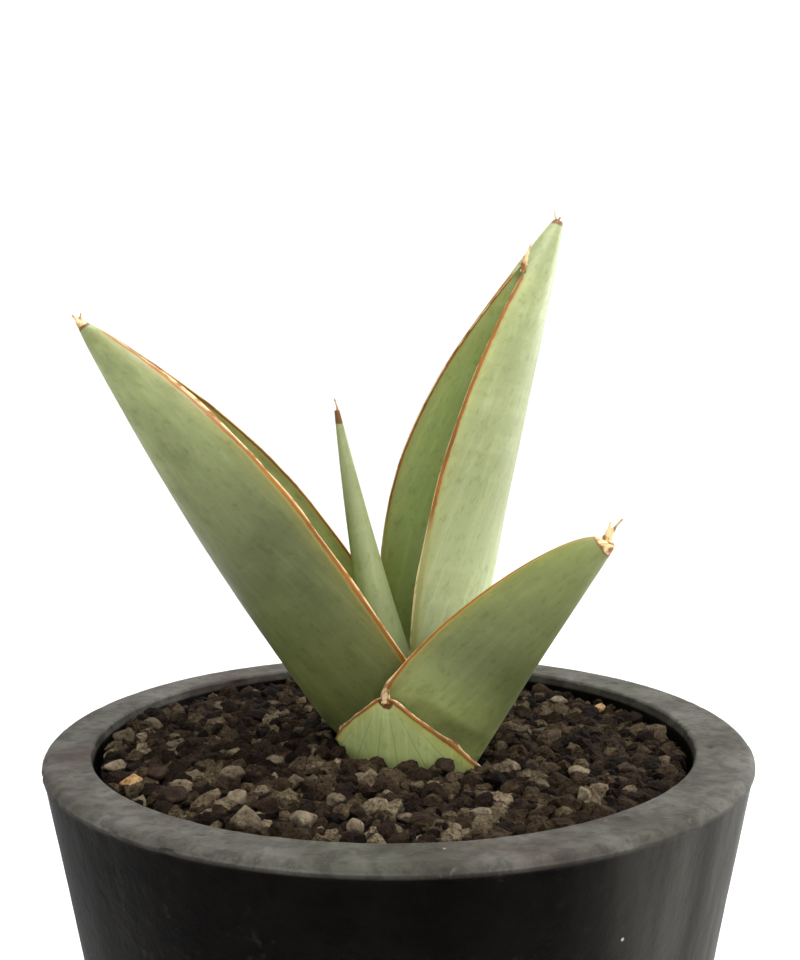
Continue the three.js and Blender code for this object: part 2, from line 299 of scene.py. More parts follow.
def spread(start, end, steps):
    """Points between two profile points, without the first."""
    return [tuple(np.array(start) + (np.array(end) - np.array(start)) * i / steps)
            for i in range(1, steps + 1)]


inner_top = cavity_radius_at(pot_height) + inner_lip_radius
lip_top = (rim_radius - lip_radius, pot_height)
foot = (wall_radius_at(foot_bevel), foot_bevel)
profile = [(drain_radius, 0.0), (wall_radius_at(0) - foot_bevel, 0.0), foot]
profile += spread(foot, (rim_radius - band_inset, pot_height - band_start), 40)
profile += spread(profile[-1], (rim_radius - lip_inset, pot_height - lip_start), 8)
profile += arc_points(rim_radius - lip_radius, pot_height - lip_radius, lip_radius, -8, 90, 12)
profile += spread(lip_top, (inner_top + 0.0002, pot_height), 24)
in_cavity = len(profile)         # the first row that belongs to the hollow
profile += arc_points(inner_top + 0.0001, pot_height - inner_lip_radius, inner_lip_radius,
                      90, 180, 6)[1:]
profile += spread(profile[-1], (cavity_radius_at(pot_height - 0.012), pot_height - 0.012), 12)
profile += spread(profile[-1], (cavity_radius_at(pot_floor), pot_floor), 12)
profile += [(drain_radius, pot_floor)]

rings = []
for row, (radius, height) in enumerate(profile):
    inside = 1.0 if row >= in_cavity else 0.0
    on_top = abs(height - pot_height) < 1e-6
    if on_top and not inside:
        inside = (lip_top[0] - radius) / (lip_top[0] - inner_top)
    shift = cavity_shift * inside if radius > drain_radius else 0.0
    ring = []
    for turn in around(pot_sectors):
        p = Vector((shift + radius * math.cos(turn), radius * math.sin(turn), height))
        if height > foot_bevel and radius > drain_radius:
            out = Vector((math.cos(turn), math.sin(turn), 0.0))
            waver = noise.noise(p * 55.0) * 0.00012 + noise.noise(p * 260.0) * 0.00004
            nick = max(0.0, noise.noise(p * 420.0 + Vector((3, 1, 7))) - 0.18)
            at_lip = math.exp(-((height - pot_height + 0.0010) / 0.0009) ** 2)
            p += out * (waver - 0.0010 * nick * at_lip)
        if height > pot_height - 0.0012:
            p.z += noise.noise(p * 40.0 + Vector((0, 0, 5))) * 0.00012 - 0.00012
            p.z -= sum(dimple(p, *pit) for pit in pits)
            p.z += dimple(p, *blister, sharpness=1.0) - 0.0001
        ring.append(p)
    rings.append(ring)
rings.append(rings[0])
points, faces = loft(rings)
last = (len(rings) - 1) * pot_sectors
points = points[:last]
faces = [tuple(v % last for v in face) for face in faces]

pot_finish, tree, surface = new_finish("charcoal_cast", 0.62, 0.018)
where = own_place(tree)
spot = parts_of(tree, where)
facing = parts_of(tree, node(tree, "ShaderNodeNewGeometry").outputs["Normal"])
# Painted light: the rim's top is painted paler where it faces up, for the light falling on it from
# above.
painted_top_light = maths(tree, "MULTIPLY",
                 ranged(tree, spot["Z"], pot_height - 0.0023, pot_height - 0.0017),
                 ranged(tree, facing["Z"], -0.1, 0.6, 0.45, 1.0))
clouds = grain(tree, where, 95.0, 6.0, 0.62)
tints = grain(tree, where, 42.0, 4.0, 0.6, seed=4.0)
body_colour = blended(tree, ranged(tree, clouds, 0.35, 0.7), (0.0010, 0.0007, 0.0005),
                      (0.0034, 0.0027, 0.0021))
run_marks = grain(tree, where, 60.0, 5.0, 0.6, stretch=(1.0, 1.0, 0.06), seed=2.0)
body_colour = blended(tree, ranged(tree, run_marks, 0.52, 0.78, 0.0, 0.4), body_colour,
                      (0.016, 0.014, 0.012))
# Painted sheen with dust: the wall's right side, facing the right lamp, is painted paler in vertical
# streaks for that lamp's reflection and for dust.
sheen_and_dust = maths(tree, "MULTIPLY", ranged(tree, run_marks, 0.30, 0.60, 0.35, 1.0),
              ranged(tree, spot["X"], 0.020, 0.060))
sheen_and_dust = maths(tree, "MULTIPLY", sheen_and_dust, ranged(tree, facing["X"], 0.0, 0.25))
body_colour = blended(tree, sheen_and_dust, body_colour, (0.090, 0.087, 0.077))
# The top's colour, painted far paler than the wall as painted light, with its own casts, pores and
# specks below.
lit_rim_colour = blended(tree, ranged(tree, clouds, 0.32, 0.7), (0.052, 0.047, 0.039),
                     (0.110, 0.106, 0.092))
scuffs = grain(tree, where, 330.0, 8.0, 0.72, seed=7.0)
for pattern, start, full, most, shade in (
        (tints, 0.50, 0.75, 0.50, (0.070, 0.046, 0.040)),      # brown cast
        (tints, 0.48, 0.25, 0.45, (0.062, 0.070, 0.048)),      # green cast
        (scuffs, 0.44, 0.62, 0.55, (0.030, 0.026, 0.023)),     # dark pores
        (scuffs, 0.60, 0.74, 0.50, (0.19, 0.185, 0.165))):     # rubbed specks
    lit_rim_colour = blended(tree, ranged(tree, pattern, start, full, 0.0, most), lit_rim_colour, shade)
colour = blended(tree, painted_top_light, body_colour, lit_rim_colour)
body_marks = maths(tree, "MULTIPLY", ranged(tree, scuffs, 0.56, 0.72, 0.0, 0.35),
                   ranged(tree, tints, 0.45, 0.65))
colour = blended(tree, body_marks, colour, (0.055, 0.052, 0.048))


def rare_dots(tree, where, scale, channel, rarity, edge, core):
    """Round dots in the few cells whose random channel lies above the rarity."""
    cells = node(tree, "ShaderNodeTexVoronoi", {"Vector": where, "Scale": scale}, feature="F1")
    draw = node(tree, "ShaderNodeSeparateColor", {0: cells.outputs["Color"]}).outputs[channel]
    return maths(tree, "MULTIPLY", ranged(tree, cells.outputs["Distance"], edge, core),
                 ranged(tree, draw, *rarity))


specks = rare_dots(tree, where, 150.0, 0, (0.93, 0.96), 0.065, 0.030)
colour = blended(tree, specks, colour, (0.52, 0.49, 0.44))
tree.links.new(ranged(tree, run_marks, 0.35, 0.7, 0.50, 0.36), surface.inputs["Roughness"])
fine = grain(tree, where, 900.0, 6.0, 0.7)
normal = relief(tree, fine, 0.00025, 0.35)
normal = relief(tree, clouds, 0.0009, 0.22, under=normal)
normal = relief(tree, scuffs, 0.0007, 0.45, under=normal)
pocks = rare_dots(tree, where, 210.0, 1, (0.90, 0.94), 0.16, 0.05)
normal = relief(tree, maths(tree, "SUBTRACT", 1.0, pocks), 0.0006, 0.8, under=normal)
dress(tree, surface, colour, normal)

pot = mesh_piece("pot_casting", points, faces, pot_finish)
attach(pot, "root")
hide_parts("pot")

# ---------------------------------------------------------------- rhizome
# The short underground stem, with its roots, that all the leaves grow from. It is buried in the
# mix, firm and fibrous like a piece of ginger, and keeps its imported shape.

rhizome_finish, tree, surface = new_finish("rhizome_skin", 0.7)
where = own_place(tree)
skin = grain(tree, where, 260.0, 5.0, 0.6, stretch=(1.0, 1.0, 3.0))
dress(tree, surface, blended(tree, skin, (0.42, 0.28, 0.13), (0.66, 0.52, 0.32)),
      relief(tree, skin, 0.0006, 0.6))
rhizome = frame["nodes"]["rhizome"]
rhizome.data.materials.clear()
rhizome.data.materials.append(rhizome_finish)

# ---------------------------------------------------------------- leaves
# Each leaf is one thick, waxy, boat-shaped blade that grew from the rhizome and clasps the younger
# ones. Its two margins are edged with an orange-brown horny bead and a thin papery rim, and meet
# near the tip in a dry spine.

crown = Vector((0.002, 0.002, 0.1124))       # middle of the leaf bases, at the mix's mean level
clasp_reach = 0.008             # how far past a clasping blade its hold on the next leaf fades
clasp_softness = 0.0008
seam_span = 0.03                # share of the length over which the margins close
stations = 150
outer_steps = 72
inner_steps = 36
bead_steps = 6

# Lengths in metres, angles in degrees. A pair is the value at the foot and at the tip, but paper is
# the height of the papery edge and where it is fullest, and waist the foot's narrowing and its end.
plain_leaf = dict(turn=0, roll=(0, 0), fullness=0, depth=(1, 1), crease=2.0, bare_side=0,
                  husk=0.0, spine=0.0004)
leaves = {
    "leaf_front": dict(
        plain_leaf, length=0.0153, keel_base=(-0.0038, -0.0149, -0.0029), azimuth=-117.4,
        lean=(5.1, 3.1), half_width=0.0214, taper=0, waist=(1, 0.3), opening=(47.7, 3),
        close=1.31, channel_end=1, wall=0.0019, seam=1.2, bead=0.0010, paper=(0.0004, 0.5),
        husk=0.0006, cap=0.0009, tip_radius=0.0006, slot="leaf_pale"),
    "leaf_right": dict(
        plain_leaf, length=0.0553, keel_base=(0.0080, -0.0118, -0.0072), azimuth=-18, turn=5.8,
        lean=(30.2, 32.1), roll=(-6.3, -10.2), half_width=0.0089, fullness=-0.06, taper=0.55,
        waist=(0.85, 0.25), depth=(1.78, 1.18), opening=(93, 165), close=0.91,
        channel_end=0.97, wall=0.0036, seam=1.2, bead=0.0007, paper=(0.0003, 0.2),
        husk=0.0024, cap=0.0, tip_radius=0.0010, spine=0.0, slot="leaf"),
    "leaf_left": dict(
        plain_leaf, length=0.105, keel_base=(-0.0064, 0.0027, -0.0097), azimuth=185,
        lean=(37, 26), roll=(-3, -8), half_width=0.0107, fullness=1.16, taper=0.87,
        waist=(0.6, 0.2), depth=(1.94, 1.06), opening=(87, 165), close=1.75,
        channel_end=0.96, wall=0.0042, seam=0.975, bead=0.0006, bare_side=1,
        paper=(0.0004, 0.80), husk=0.0018, cap=0.0003, tip_radius=0.0005, spine=0.0007,
        slot="leaf"),
    "leaf_back": dict(
        plain_leaf, length=0.1093, keel_base=(0.0121, 0.0096, -0.0074), azimuth=27, turn=5,
        lean=(4.8, 18), roll=(-23.5, 20.7), half_width=0.0096, fullness=1.56, taper=0.94,
        waist=(0.6, 0.2), depth=(1.66, 1.04), opening=(73.5, 165), close=1.18,
        channel_end=0.92, wall=0.0042, crease=1.4, seam=0.885, bead=0.0005, bare_side=-1,
        paper=(0.0002, 0.3), cap=0.0014, tip_radius=0.0010, slot="leaf"),
    "leaf_spike": dict(
        plain_leaf, length=0.0660, keel_base=(-0.005, 0.003, -0.0024), azimuth=181,
        lean=(10.6, 4.8), half_width=0.0051, taper=0.97, waist=(0.8, 0.2), opening=(165, 165),
        close=1, channel_end=0, wall=0.0065, seam=0, bead=0.0004, paper=(0.0, 0.5),
        cap=0.0023, tip_radius=0.0005, slot="leaf_pale"),
}


def ease(value):
    value = min(max(value, 0.0), 1.0)
    return value * value * (3 - 2 * value)


def leaf_axes(leaf, s):
    """Along the leaf, inwards from its keel, and across it, at share s of its length."""
    lean = math.radians(leaf["lean"][0] + (leaf["lean"][1] - leaf["lean"][0]) * s)
    azimuth = math.radians(leaf["azimuth"] + leaf["turn"] * s)
    roll = math.radians(leaf["roll"][0] + (leaf["roll"][1] - leaf["roll"][0]) * s)
    outward = Vector((math.cos(azimuth), math.sin(azimuth), 0.0))
    along = outward * math.sin(lean) + Vector((0, 0, math.cos(lean)))
    inward = outward * -math.cos(lean) + Vector((0, 0, math.sin(lean)))
    inward.rotate(Matrix.Rotation(roll, 3, along))
    return along, inward, along.cross(inward)


def leaf_section(leaf, s):
    """Half-width, half-depth and the angle at which the margins stand, at share s."""
    narrowest, waist_end = leaf["waist"]
    waist = narrowest + (1 - narrowest) * ease(s / waist_end)
    swell = leaf["half_width"] * (1 + leaf["fullness"] * s) * max(1 - s, 0.0) ** leaf["taper"]
    width = leaf["tip_radius"] + waist * swell
    depth = width * (leaf["depth"][0] + (leaf["depth"][1] - leaf["depth"][0]) * s)
    closing = min(s / leaf["channel_end"], 1.0) if leaf["channel_end"] > 0 else 1.0
    low, high = leaf["opening"]
    return width, depth, math.radians(low + (high - low) * closing ** leaf["close"]), closing


def behind_blade(p, blade):
    """The point pressed in behind an outer leaf that clasps it, its hold fading past the margins."""
    foot = crown + Vector(blade["keel_base"])
    along, inward, across = leaf_axes(blade, 0.5)
    run = (p - foot).dot(along)
    s = min(max(run / blade["length"], 0.0), 1.0)
    width, depth, opening, _ = leaf_section(blade, s)
    middle = foot + along * run + inward * depth
    x, y = (p - middle).dot(across), (p - middle).dot(inward)
    angle, radius = math.atan2(x, -y), math.hypot(x, y)
    beside = max(abs(angle) - opening, 0.0) * radius
    above = max(run - blade["length"], 0.0)
    hold = 1 - ease(math.hypot(beside, above) / clasp_reach)
    if hold <= 0 or abs(angle) > math.pi * 0.75:
        return p
    free = width - blade["wall"] - 0.0003
    pressed = free - clasp_softness * math.log1p(math.exp((free - radius) / clasp_softness))
    inwards = (radius - pressed) * hold / radius
    return p - across * x * inwards - inward * y * inwards


def run_of(line):
    """How far along the line each of its points lies."""
    run = [0.0]
    for first, second in zip(line, line[1:]):
        run.append(run[-1] + (second - first).length)
    return run


def leaf_rings(name, leaf):
    """Rings of (point, marks), marks being what the finish reads at that point."""
    foot = crown + Vector(leaf["keel_base"])
    keel = foot.copy()
    rings = []
    seed = Vector((len(name) * 3.1, leaf["length"] * 90, 2.0))
    for i in range(stations + 1):
        s = i / stations
        if i > 0:
            keel += leaf_axes(leaf, (i - 0.5) / stations)[0] * (leaf["length"] / stations)
        along, inward, across = leaf_axes(leaf, s)
        width, depth, opening, closing = leaf_section(leaf, s)
        past = ease((s - leaf["seam"]) / seam_span + 0.5)
        opening += (math.pi - 0.02 - opening) * past
        opening += 0.012 * noise.noise(seed + Vector((s * 9, 0, 0))) * (1 - past)
        bead = leaf["bead"] * (1 - 0.8 * past) * min(1.0, width / 0.003)
        fin_height, fullest = leaf["paper"]
        frayed = 0.2 + 0.8 * abs(noise.noise(seed + Vector((s * 14, 5, 0))))
        frayed += 1.6 * math.exp(-((s - fullest) / 0.08) ** 2)
        paper = fin_height * (1 - past) * frayed
        centre = keel + inward * depth
        section = []

        def put(x, y, edge, inside, dry=0.0):
            p = centre + across * x + inward * y
            lump = noise.noise(p * 60.0 + seed) * 0.00016 * (1 - past)
            away = (p - centre).normalized() if (p - centre).length > 1e-6 else inward
            p += away * lump
            if name in ("leaf_right", "leaf_left"):
                p = behind_blade(p, leaves["leaf_front"])
            section.append((p, (x, y, s * leaf["length"]), edge + 0.004 * past, inside, dry))

        outline = []
        for j in range(outer_steps + 1):
            angle = opening * (1 - 2 * j / outer_steps)
            outline.append(Vector((width * math.sin(angle), -depth * math.cos(angle))))
        run = run_of(outline)
        for spot, gone in zip(outline, run):
            put(spot.x, spot.y, min(gone, run[-1] - gone), 0.0)

        def bead_and_paper(side):
            """From the outer rim over the bead and its papery edge to the channel."""
            tangent = Vector((width * math.cos(opening) * side, depth * math.sin(opening)))
            tangent.normalize()
            outward = Vector((tangent.y * side, -tangent.x * side))
            rim = Vector((side * width * math.sin(opening), -depth * math.cos(opening)))
            middle = rim - outward * (bead / 2)
            trail = []
            for k in range(1, bead_steps):
                turn = math.pi * k / bead_steps
                spot = middle + outward * (math.cos(turn) * bead / 2) + tangent * (
                    math.sin(turn) * bead * 0.55)
                trail.append((spot, -0.0001 - 0.00015 * math.sin(turn), turn / math.pi * 0.5, 0.0))
            crest = middle + tangent * (bead * 0.5)
            fin = paper * (0.2 if side == leaf["bare_side"] else 1.0) + 0.00003
            thick = min(0.00016, bead * 0.3)
            half = bead_steps // 2
            trail[half - 1:half] = [
                (crest + outward * thick * 0.5, -0.0003, 0.2, 0.4),
                (crest + outward * thick * 0.35 + tangent * fin, -0.0003, 0.2, 1.0),
                (crest - outward * thick * 0.35 + tangent * fin, -0.0003, 0.3, 1.0),
                (crest - outward * thick * 0.5, -0.0003, 0.3, 0.6),
            ]
            end = rim - outward * bead
            return trail, end

        right = bead_and_paper(1)[0]
        left, left_end = bead_and_paper(-1)
        for spot, edge, inside, dry in left:
            put(spot.x, spot.y, edge, inside, dry)
        body = left_end.y + depth
        wall = body * leaf["wall"] / (body + leaf["wall"])
        floor = wall - depth
        floor += (left_end.y - floor) * closing ** 4
        channel = []
        for j in range(inner_steps + 1):
            u = -math.cos(math.pi * j / inner_steps)
            rise = abs(u) ** leaf["crease"]
            channel.append(Vector((u * abs(left_end.x), floor + (left_end.y - floor) * rise)))
        run = run_of(channel)
        for spot, gone in zip(channel, run):
            put(spot.x, spot.y, min(gone, run[-1] - gone), 1.0)
        for spot, edge, inside, dry in reversed(right):
            put(spot.x, spot.y, edge, inside, dry)
        rings.append(section)
    return rings


def thread(start, direction, bend, length, radius, sides=9, steps=12):
    """A dry, fluted husk or thread that narrows to its end: points and faces of a closed tube."""
    rings = []
    spot = start.copy()
    heading = direction.normalized()
    side = heading.orthogonal().normalized()
    for i in range(steps + 1):
        s = i / steps
        up = heading.cross(side).normalized()
        thin = max(radius * (1 - s) ** 1.2, 0.00016) * (1 + 0.15 * math.sin(i * 2.1))
        rings.append([spot + (side * math.cos(a) + up * math.sin(a)) * (
            thin * (1 + 0.22 * math.sin(3 * a + s))) for a in around(sides)])
        heading = (heading + bend * (1.0 / steps)).normalized()
        side = (side - heading * side.dot(heading)).normalized()
        spot = spot + heading * (length / steps)
    points, faces = loft(rings)
    faces.append(tuple(reversed(range(sides))))
    faces.append(tuple(range(steps * sides, (steps + 1) * sides)))
    return points, faces


# Dry husks and threads: the share of the leaf's length where they start, heading and bend added to
# the leaf's own run, length and radius
tip_threads = {
    "leaf_front": [
        (1.0, (-0.9, 0.0, 0.3), (0.9, 0.0, 0.9), 0.0024, 0.00065),
        (1.0, (0.9, 0.0, 0.3), (-0.9, 0.0, 0.9), 0.0024, 0.00065),
        (1.0, (0.0, -0.2, 0.5), (0.0, 0.0, 0.0), 0.0028, 0.00085)],
    "leaf_right": [
        (1.0, (-0.15, 0.0, 0.8), (0.1, 0.0, 0.2), 0.0040, 0.00120),
        (1.0, (0.05, -0.1, 0.8), (0.5, 0.0, -0.1), 0.0052, 0.00070),
        (1.0, (0.30, -0.1, 0.6), (-0.2, 0.0, 0.5), 0.0030, 0.00085)],
    "leaf_left": [
        (1.0, (-0.25, 0.0, 0.1), (0.1, 0.0, 0.1), 0.0020, 0.00070),
        (1.0, (0.35, 0.0, 0.3), (-0.3, 0.0, 0.2), 0.0018, 0.00060)],
    "leaf_back": [
        (1.0, (-0.2, 0.0, 0.4), (0.0, 0.0, 0.1), 0.0024, 0.00026),
        (1.0, (0.5, 0.0, 0.5), (0.2, 0.0, 0.1), 0.0015, 0.00030),
        (0.895, (0.30, -0.25, 0.9), (0.15, 0.1, 0.1), 0.0046, 0.00080),
        (0.880, (0.10, -0.25, 0.9), (0.25, 0.1, 0.1), 0.0040, 0.00055)],
    "leaf_spike": [(1.0, (-0.1, 0.0, 0.6), (-0.25, 0.0, 0.1), 0.0030, 0.00032)],
}

blade_colours = {
    # outer skin low and high on the leaf, channel, glow beside the margins, and the shares of the
    # length between which the skin changes. The change from low to high is mostly painted light and
    # shade: painted shade darkens the left and right leaves low down, and painted light pales the back
    # leaf and the spike low down.
    "leaf_front": ((0.40, 0.47, 0.175), (0.46, 0.53, 0.21), (0.20, 0.27, 0.07),
                   (0.47, 0.46, 0.10), (0.15, 0.95)),
    "leaf_right": ((0.120, 0.138, 0.046), (0.180, 0.212, 0.066), (0.16, 0.21, 0.06),
                   (0.18, 0.18, 0.040), (0.35, 1.0)),
    "leaf_left": ((0.068, 0.078, 0.023), (0.26, 0.30, 0.125), (0.32, 0.38, 0.12),
                  (0.17, 0.16, 0.032), (0.27, 1.0)),
    "leaf_back": ((0.56, 0.63, 0.33), (0.26, 0.295, 0.130), (0.27, 0.345, 0.100),
                  (0.31, 0.33, 0.11), (0.20, 0.55)),
    "leaf_spike": ((0.40, 0.45, 0.22), (0.27, 0.305, 0.140), (0.24, 0.30, 0.11),
                   (0.34, 0.39, 0.18), (0.15, 0.95)),
}

# The lowest part of a clasped leaf is paler, partly as it grew in shade and partly as painted light
# that lifts the shade cast there: how much paler it is, and how far up
pale_and_lit_feet = {"leaf_right": (2.4, 0.027), "leaf_left": (2.0, 0.052)}


def leaf_finish(name, leaf):
    low, high, channel, glow, (change_from, change_to) = blade_colours[name]
    finish, tree, surface = new_finish(name + "_skin", 0.48)

    def mark(kind, output="Fac"):
        return node(tree, "ShaderNodeAttribute", attribute_name=kind).outputs[output]

    straight = mark("straight", "Vector")
    edge, inside, dry, to_tip = mark("edge"), mark("inside"), mark("dry"), mark("to_tip")
    spot = parts_of(tree, straight)
    sideways, height = spot["X"], spot["Z"]
    fibres = grain(tree, straight, 700.0, 4.0, 0.6, stretch=(1.0, 1.0, 0.05))
    flecks = grain(tree, straight, 900.0, 4.0, 0.65, stretch=(1.0, 1.0, 0.55), seed=9.0)
    mottle = grain(tree, straight, 130.0, 5.0, 0.6, stretch=(1.0, 1.0, 0.6))
    bands = grain(tree, straight, 240.0, 3.0, 0.55, stretch=(0.25, 0.25, 1.0), seed=3.0)
    # Painted light and shade along the leaf, from the low colour to the high one.
    outer = blended(tree, ranged(tree, height, change_from * leaf["length"],
                                 change_to * leaf["length"]), low, high)
    # Painted light at the foot, along with its own paler colour, lifting the shade of the clasping
    # leaf.
    if name in pale_and_lit_feet:
        gain, reach = pale_and_lit_feet[name]
        outer = blended(tree, ranged(tree, height, reach, reach / 2), outer,
                        times(tree, outer, (gain, gain, gain)))
    blade = blended(tree, ranged(tree, inside, 0.45, 0.6), outer, channel)
    blade = blended(tree, ranged(tree, edge, 0.0042, 0.0003, 0.0, 0.6), blade, glow)
    # Painted shade along the bottom of the channel's crease.
    crease_shade = ranged(tree, maths(tree, "ABSOLUTE", maths(tree, "ADD", sideways, -0.0009)),
                  0.0016, 0.0002)
    crease_shade = maths(tree, "MULTIPLY", crease_shade, ranged(tree, inside, 0.45, 0.6, 0.0, 0.7))
    blade = blended(tree, crease_shade, blade, tuple(0.35 * c for c in channel))
    blade = blended(tree, ranged(tree, mottle, 0.42, 0.72, 0.0, 0.30), blade,
                    tuple(0.62 * c for c in low))
    for pattern, start, full, most, factor in (
            (fibres, 0.45, 0.72, 0.60, (1.28, 1.26, 1.30)),
            (flecks, 0.50, 0.28, 0.55, (0.62, 0.66, 0.52)),
            (bands, 0.50, 0.72, 0.50, (1.22, 1.20, 1.30))):
        share = ranged(tree, pattern, start, full, 0.0, most)
        blade = blended(tree, share, blade, times(tree, blade, factor))
    if name == "leaf_front":
        # Painted shade: dark lines fanning from the tip stand for the shade in the front leaf's folds.
        fan = maths(tree, "DIVIDE", sideways,
                    maths(tree, "SUBTRACT", leaf["length"] + 0.003, height))
        fold_shade_lines = node(tree, "ShaderNodeTexVoronoi", {
            "W": maths(tree, "ADD", maths(tree, "MULTIPLY", fan, 3.6), 0.3),
            "Scale": 1.0, "Randomness": 0.9,
        }, voronoi_dimensions="1D", feature="DISTANCE_TO_EDGE")
        line = ranged(tree, fold_shade_lines.outputs["Distance"], 0.035, 0.010, 0.0, 0.6)
        line = maths(tree, "MULTIPLY", line, ranged(tree, edge, 0.0012, 0.003))
        blade = blended(tree, line, blade, (0.10, 0.16, 0.05))
    frays = maths(tree, "MULTIPLY", maths(tree, "SUBTRACT", grain(
        tree, straight, 700.0, 3.0), 0.5), 0.0005)
    ragged = maths(tree, "ADD", maths(tree, "ADD", edge, frays), maths(
        tree, "MULTIPLY", inside, 0.0003))
    horn_colour = blended(tree, grain(tree, straight, 350.0, 4.0, stretch=(1, 1, 0.3), seed=6.0),
                          (0.065, 0.017, 0.002), (0.42, 0.155, 0.010))
    if name == "leaf_back":        # its margins are still soft and green at the foot
        horn_colour = blended(tree, ranged(tree, height, 0.050, 0.042), horn_colour, glow)
    if leaf["channel_end"] > 0:
        blade = blended(tree, ranged(tree, ragged, 0.0010, 0.0004, 0.0, 0.6), blade,
                        (0.34, 0.25, 0.05))
        blade = blended(tree, ranged(tree, ragged, 0.0005, 0.00025), blade, horn_colour)
    pith = grain(tree, straight, 900.0, 3.0, stretch=(1, 1, 0.3), seed=8.0)
    husk = blended(tree, ranged(tree, pith, 0.36, 0.56), (0.26, 0.100, 0.014), (0.80, 0.62, 0.33))
    ripple = maths(tree, "MULTIPLY", maths(tree, "SUBTRACT", grain(
        tree, straight, 450.0, 2.0), 0.5), 0.0010)
    near_tip = maths(tree, "ADD", to_tip, ripple)
    dried = leaf["husk"]
    blade = blended(tree, ranged(tree, near_tip, dried + leaf["cap"] + 0.0003,
                                 dried + leaf["cap"]), blade, (0.150, 0.058, 0.010))
    if dried > 0:
        blade = blended(tree, ranged(tree, near_tip, dried, dried - 0.0003), blade, husk)
    blade = blended(tree, dry, blade, husk)
    tree.links.new(ranged(tree, mottle, 0.3, 0.7, 0.42, 0.58), surface.inputs["Roughness"])
    surface.inputs["Specular IOR Level"].default_value = 0.35
    normal = relief(tree, bands, 0.0005, 0.18)
    normal = relief(tree, fibres, 0.0003, 0.16, under=normal)
    normal = relief(tree, grain(tree, straight, 1500.0, 4.0, 0.7), 0.0001, 0.25, under=normal)
    dress(tree, surface, blade, normal)
    return finish


def make_leaf(name, leaf):
    rings = leaf_rings(name, leaf)
    size = len(rings[0])
    points, faces = loft([[mark[0] for mark in ring] for ring in rings])
    marks = [list(mark[1:]) for ring in rings for mark in ring]
    faces = [tuple(reversed(face)) for face in faces]
    tip = sum((mark[0] for mark in rings[-1]), Vector()) / size
    along = leaf_axes(leaf, 1.0)[0]
    points.append(tip + along * leaf["spine"])
    marks.append([(0, 0, leaf["length"]), 0.01, 0.0, 0.0])
    end = stations * size
    faces += [(end + (j + 1) % size, end + j, len(points) - 1) for j in range(size)]
    base = sum((mark[0] for mark in rings[0]), Vector()) / size
    points.append(base)
    marks.append([(0, 0, 0), 0.01, 0.0, 0.0])
    faces += [(j, (j + 1) % size, len(points) - 1) for j in range(size)]
    for share, heading, bend, length, radius in tip_threads[name]:
        start = tip - along * 0.0005
        if share < 1:
            start = rings[round(share * stations)][0][0]
        ahead = Vector(heading).normalized() + along * 0.8
        more, joins = thread(start, ahead, Vector(bend), length, radius)
        joins = [tuple(v + len(points) for v in face) for face in joins]
        points += more
        faces += joins
        marks += [[(p.x, p.y, p.z), 0.01, 0.0, 1.0] for p in more]
    for mark, p in zip(marks, points):
        mark.append((p - tip).length)
    piece = mesh_piece(name + "_blade", points, faces, leaf_finish(name, leaf))
    mesh = piece.data
    straight = mesh.attributes.new("straight", "FLOAT_VECTOR", "POINT")
    straight.data.foreach_set("vector", np.array([m[0] for m in marks], np.float32).ravel())
    for index, kind in enumerate(("edge", "inside", "dry", "to_tip"), start=1):
        mark = mesh.attributes.new(kind, "FLOAT", "POINT")
        mark.data.foreach_set("value", np.array([m[index] for m in marks], np.float32))
    shape = bmesh.new()
    shape.from_mesh(mesh)
    bmesh.ops.recalc_face_normals(shape, faces=shape.faces)
    shape.to_mesh(mesh)
    shape.free()
    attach(piece, "root")
    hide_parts(name)


for leaf_name, leaf in leaves.items():
    make_leaf(leaf_name, leaf)

# ---------------------------------------------------------------- potting mix
# Dark volcanic fines packed round the roots. They fill the pot to just below the rim, a little
# higher round the leaves, and show only between the larger grains.

soil_level = crown.z
soil_fall = 0.012
crown_mound = 0.0012
mound_radius = 0.022
soil_gap = 0.0003
fines_drop = 0.0012              # the fines lie this far below the grains' level
soil_rings = 70
soil_sectors = 220


def soil_height_at(x, y):
    away = math.hypot(x - crown.x, y - crown.y) / mound_radius
    return soil_level - soil_fall * (x + y) + crown_mound * math.exp(-away * away)


def soil_bed(edge_radius, drop, roughness):
    """Rings of the mix's upper surface, from its edge to its middle."""
    rings = []
    for k in range(soil_rings, 0, -1):
        ring = []
        radius = edge_radius * k / soil_rings
        for turn in around(soil_sectors):
            x = cavity_shift + radius * math.cos(turn)
            y = radius * math.sin(turn)
            p = Vector((x, y, soil_height_at(x, y) - drop))
            p.z += roughness * noise.fractal(p * 170.0, 1.0, 2.0, 4)
            ring.append(p)
        rings.append(ring)
    return rings


def closed_over(rings, middle):
    """Points and faces of the rings, with a fan from the last one to the middle point."""
    points, faces = loft(rings)
    points.append(middle)
    last = len(points) - 1 - soil_sectors
    faces += [(last + i, last + (i + 1) % soil_sectors, len(points) - 1)
              for i in range(soil_sectors)]
    return points, faces


soil_finish, tree, surface = new_finish("mix_fines", 0.95, 0.10)
where = own_place(tree)
crumbs = grain(tree, where, 650.0, 6.0, 0.7)
colour = blended(tree, ranged(tree, crumbs, 0.35, 0.7), (0.004, 0.002, 0.001),
                 (0.022, 0.014, 0.008))
dress(tree, surface, colour, relief(tree, crumbs, 0.0012, 0.9))

